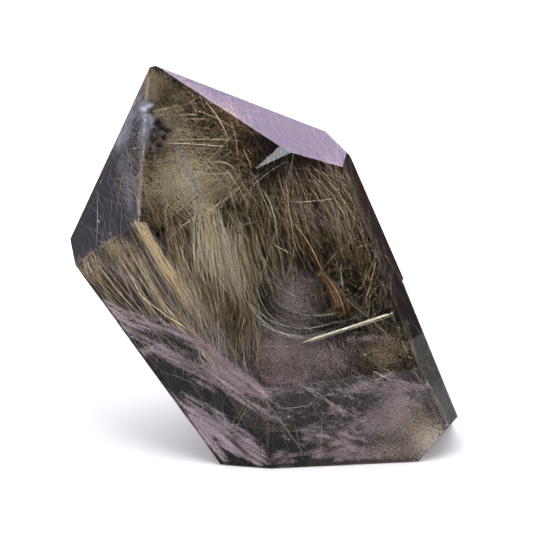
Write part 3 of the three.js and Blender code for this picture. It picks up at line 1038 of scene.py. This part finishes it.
OLIVE_HAZES = (
    ((232, 270), (20, 30), 2500, (3, 7), (0.4, 0.9)),
    ((120, 246), (14, 5), 1500, (1.2, 4), (0.3, 0.7)),
    ((300, 215), (30, 22), 3500, (3, 8), (0.2, 0.6)),
    ((384, 352), (16, 16), 8000, (1, 4), (0.5, 0.9)),
    ((146, 188), (5, 26), 2500, (0.8, 4), (0.3, 0.7)),
    ((164, 84), (9, 8), 1500, (1, 4), (0.2, 0.45)),
)
# Wools are given by centre, size, number of fibres, depth and tone, and the first one by its main direction,
# spread of directions and length too.
OLIVE_WOOLS = (
    ((154, 86), (6, 10), 420, (0.6, 4), (0.05, 0.5), 92, 25, (1.5, 5)),
    ((186, 176), (17, 17), 300, (0.8, 3), (0.7, 1)),
    ((172, 122), (16, 20), 260, (0.8, 3), (0.6, 1)),
    ((216, 190), (20, 9), 200, (1, 4), (0.5, 1)),
    ((300, 215), (30, 25), 400, (2, 6), (0.2, 0.9)),
)


def olive_clouds(growth):
    """Other hazy yellow-green places, and short fibres in the hazes of the tip."""
    hazes(growth, OLIVE_HAZES)
    for row in OLIVE_WOOLS:
        wool(growth, *row)


# Painted glow: clouds of pale cream grains where warm light shows in the foot.
PAINTED_GLOW_HAZES = (
    ((426, 440), (12, 12), 8000, (0.7, 3), (0.9, 1.15)),
    ((404, 420), (18, 16), 9000, (0.8, 3.5), (0.6, 0.95)),
    ((392, 450), (22, 7), 4500, (0.7, 3), (0.5, 0.85)),
)


def cream_painted_glow(growth):
    """A painted glow: pale cream grains in the lower right corner of the foot face, standing in for the warm
    light seen there.
    """
    hazes(growth, PAINTED_GLOW_HAZES)


MAUVE_HAZES = (
    ((294, 298), (16, 20), 8500, (0.9, 2.6), (0.65, 0.95)),
    ((282, 350), (20, 18), 16000, (0.9, 2.6), (0.65, 0.95)),
    ((325, 358), (24, 14), 10000, (0.9, 2.6), (0.65, 0.95)),
    ((290, 380), (22, 6), 4000, (0.9, 2.2), (0.6, 0.9)),
    ((218, 345), (14, 12), 2500, (2, 4), (0.3, 0.7)),
    ((210, 306), (12, 12), 2000, (2, 5), (0.3, 0.7)),
)


def mauve_haze(growth):
    """The smooth mauve haze behind the lower half of the wide face."""
    hazes(growth, MAUVE_HAZES)


# Veils are given by path, width, number of grains, tone, length and width of a clump, and number of clumps.
LEFT_VEILS = (
    (((84, 268), (105, 264), (138, 282)), 4, 800, (0.2, 0.6), 6, 1.2, 26),
    (((98, 300), (128, 318), (165, 330), (205, 346), (262, 392)), 3.5, 8000, (0.5, 1), 11, 0.7, 60),
    (((110, 322), (150, 342), (205, 372), (262, 412)), 4, 4500, (0.4, 1), 11, 0.6, 44),
    (((130, 355), (152, 350), (180, 362)), 2, 900, (0.3, 0.8), 9, 0.6, 12),
    (((158, 392), (186, 420), (222, 462)), 6, 7500, (0.6, 1), 11, 0.8, 44),
    (((188, 408), (215, 425), (262, 455)), 6, 5500, (0.6, 1), 8, 0.9, 44),
    (((205, 425), (235, 446), (262, 462)), 7, 3200, (0.6, 1), 5, 1, 36),
    (((205, 365), (240, 385), (265, 395)), 7, 3000, (0.4, 0.9), 7, 0.9, 36),
)


def left_veils(growth):
    """Pinkish streaks with black gaps between them behind the left front face."""
    veils(growth, LEFT_VEILS, depth=(0.8, 2.4), radius=(0.04, 0.11), fibres=0.35)


FOOT_VEILS = (
    (((272, 458), (300, 457), (340, 454), (385, 456)), 3.5, 2800, (0.3, 1), 3, 1.2, 60),
    (((300, 432), (325, 437), (365, 446)), 7, 3000, (0.4, 1), 2.2, 1.2, 60),
    (((362, 428), (385, 418), (405, 400)), 9, 4500, (0.3, 0.9), 6, 4, 50),
    (((268, 393), (300, 390), (340, 392), (395, 388)), 2.5, 1300, (0.4, 1), 2, 0.8, 50),
    (((268, 415), (300, 412), (360, 418)), 10, 900, (0.4, 1), 1.2, 0.8, 60),
    (((283, 203), (305, 212), (336, 226)), 4, 800, (0.1, 0.8), 4, 1, 40),
    (((350, 340), (375, 338), (398, 342)), 1.5, 500, (0.5, 1), 3, 1, 20),
    (((350, 384), (395, 388), (420, 394)), 6, 3000, (0.4, 0.9), 5, 1.5, 40),
    (((330, 405), (345, 413)), 3, 300, (0.4, 1), 2, 1, 12),
)


def foot_veils(growth):
    """Blotchy veils with dark gaps behind the foot face, and fainter ones above it and in the tip."""
    veils(growth, FOOT_VEILS, depth=(0.7, 3), radius=(0.03, 0.09), fibres=0.3)


FROST_VEILS = (
    (((117, 148), (128, 127), (141, 100)), 4, 2600, (0.2, 0.7), 6, 2.2, 30),
    (((124, 158), (129, 182), (133, 205)), 4, 1500, (0.1, 0.6), 6, 2, 20),
    (((143, 112), (149, 128), (147, 150)), 3, 1300, (0.3, 0.9), 4, 1.2, 30),
)


def tip_frost(growth):
    """Bluish frosty bands behind the left tip face and beside its ridge."""
    veils(growth, FROST_VEILS, depth=(0.7, 3), radius=(0.03, 0.08), fibres=0.3)


# These hazes are given by centre, size, number of grains, depth, radius and tone.
SNOW_CLOUDS = (
    ((143.5, 109), (2.6, 2), 800, (0.5, 1), (0.08, 0.18), (0.6, 0.9)),
    ((149, 105.5), (2.4, 1.6), 600, (0.5, 1), (0.08, 0.18), (0.6, 0.9)),
    ((152, 122), (3.5, 5), 500, (0.6, 1.2), (0.06, 0.14), (0.4, 0.9)),
)
SNOW_TAIL = dict(path=((143, 113), (146, 124), (143, 135)), width=3, number=300, depth=(0.6, 1.6),
                 tone=(0.4, 1), long=3, clumps=16)
SNOW_SPOT = ((157, 131), (5, 6), 160, (0.6, 1.4), (0.05, 0.1), (0.5, 0.9))
TIP_LINE = dict(path=((176, 142), (184, 165), (203, 199)), width=1.5, number=420, depth=(0.6, 1.6),
                tone=(0.3, 0.9), long=5, wide=0.8)
RIDGE_LINE = dict(path=((138, 198), (139.5, 222)), width=0.7, number=50, depth=(0.6, 1), tone=(0.5, 1),
                  long=3, wide=0.5)
EDGE_LINE = dict(path=((371, 242), (376, 262), (393, 316), (404, 345), (416, 370)), width=0.8, number=150,
                 depth=(0.5, 0.9), radius=(0.05, 0.10), tone=(0.3, 1), clumps=60, long=0.8, wide=0.4,
                 fibres=0.1)
# Painted highlights: single pale grains put where light glints.
PAINTED_GLINTS = (
    (99, 221), (97, 277), (110, 233), (318, 137), (214, 287), (222, 299), (196, 303), (400, 354),
    (310, 352), (313, 391), (353, 408), (370, 413), (281, 152), (288, 149),
)
PAINTED_GLINT = dict(size=(0.9, 0.9), number=24, depth=(0.6, 1), radius=(0.05, 0.1), tone=(0.6, 1))
# Painted highlights too: pale grains spread where light glints in the foot.
FOOT_PAINTED_GLINTS = (
    ((330, 405), (48, 26), 360, (0.6, 3), (0.05, 0.1), (0.5, 1)),
    ((235, 440), (22, 14), 90, (0.6, 3), (0.05, 0.1), (0.5, 1)),
)


def bright_grains_and_painted_glints(growth):
    """Snow-white grains, and single pale grains put where light glints as painted highlights; some grains
    lie along the right edge.
    """
    for row in SNOW_CLOUDS:
        haze(growth, *row)
    veil(growth, **SNOW_TAIL)
    haze(growth, *SNOW_SPOT)
    for line in (TIP_LINE, RIDGE_LINE, EDGE_LINE):
        veil(growth, **line)
    for place in PAINTED_GLINTS:
        haze(growth, place, **PAINTED_GLINT)
    for row in FOOT_PAINTED_GLINTS:
        haze(growth, *row)


BLACK_CLUSTER = (
    (158, 122), (161, 128), (155, 130), (164, 137), (159, 146), (152, 139), (167, 130), (156, 124),
)
BLACK_KNOB = dict(size=(1.4, 1.3), number=120, depth=(0.5, 0.8), radius=(0.12, 0.22), tone=(0, 1))
BLACK_DOTS = (
    (197, 197), (204, 210), (284, 148), (279, 151), (149, 255), (292, 358),
)
BLACK_DOT = dict(size=(1.2, 0.9), number=24, depth=(0.5, 0.8), radius=(0.05, 0.1), tone=(0, 1))


def black_grains(growth):
    """The cluster of black grains in the tip, and a few single ones."""
    for place in BLACK_CLUSTER:
        haze(growth, place, **BLACK_KNOB)
    for place in BLACK_DOTS:
        haze(growth, place, **BLACK_DOT)


# The order in which the pieces grow
PIECES = (
    (thicket, "rutile_thicket", GOLD),
    (back_sheaves, "back_sheaves", GOLD),
    (left_comb, "left_comb", DEEP_GOLD),
    (middle_sheaf, "middle_sheaf", GOLD),
    (tip_brush, "tip_brush", GOLD),
    (upper_brush, "upper_brush", GOLD),
    (silver_threads, "silver_threads", SILVER),
    (amber_streaks, "amber_streaks", AMBER),
    (tip_haze, "tip_haze", OLIVE),
    (olive_clouds, "olive_clouds", OLIVE),
    (cream_painted_glow, "cream_painted_glow", PAINTED_GLOW_CREAM),
    (mauve_haze, "mauve_haze", MAUVE),
    (left_veils, "left_veils", VEIL),
    (foot_veils, "foot_veils", VEIL),
    (tip_frost, "tip_frost", FROST),
    (bright_grains_and_painted_glints, "bright_grains_and_painted_glints", FROST),
    (black_grains, "black_grains", BLACK),
)
for grow, name, material in PIECES:
    growth = Growth()
    grow(growth)
    growth.make(name, material)
